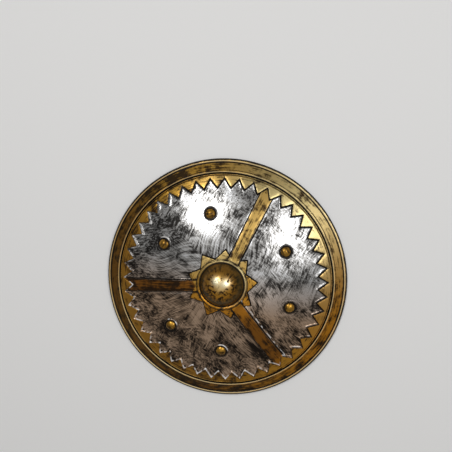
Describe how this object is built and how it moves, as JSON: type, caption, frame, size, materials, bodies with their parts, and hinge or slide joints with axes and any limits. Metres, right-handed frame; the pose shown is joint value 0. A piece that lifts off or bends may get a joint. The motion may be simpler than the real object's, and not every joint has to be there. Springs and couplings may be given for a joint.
{
  "type": "round costume shield",
  "caption": "Round domed costume shield, moulded in one shell with a toothed ring, radial bands, a star round the boss and rivet domes, with a hand grip and forearm strap behind.",
  "frame": {"origin": "on the surface that the rim lies on, under the middle of the boss", "axes": "+Z out of the shield's face, up as it lies face up; -X along one of the bands; the forearm strap is on the -X side and the hand grip on the +X side"},
  "size_m": [0.5, 0.5, 0.097],
  "materials": {
    "painted_shell": "antique gold relief and dry-brushed silver field, painted over black moulded plastic, rubbed dark in the grooves",
    "strap_plastic": "plain black flexible plastic with a fine moulded grain",
    "rivet_plastic": "smooth black plastic"
  },
  "bodies": {
    "root": {"shell": "painted_shell", "hand_grip": "strap_plastic", "forearm_strap": "strap_plastic", "grip_rivet_left": "rivet_plastic", "grip_rivet_right": "rivet_plastic", "forearm_rivet_left": "rivet_plastic", "forearm_rivet_right": "rivet_plastic"}
  },
  "joints": []
}
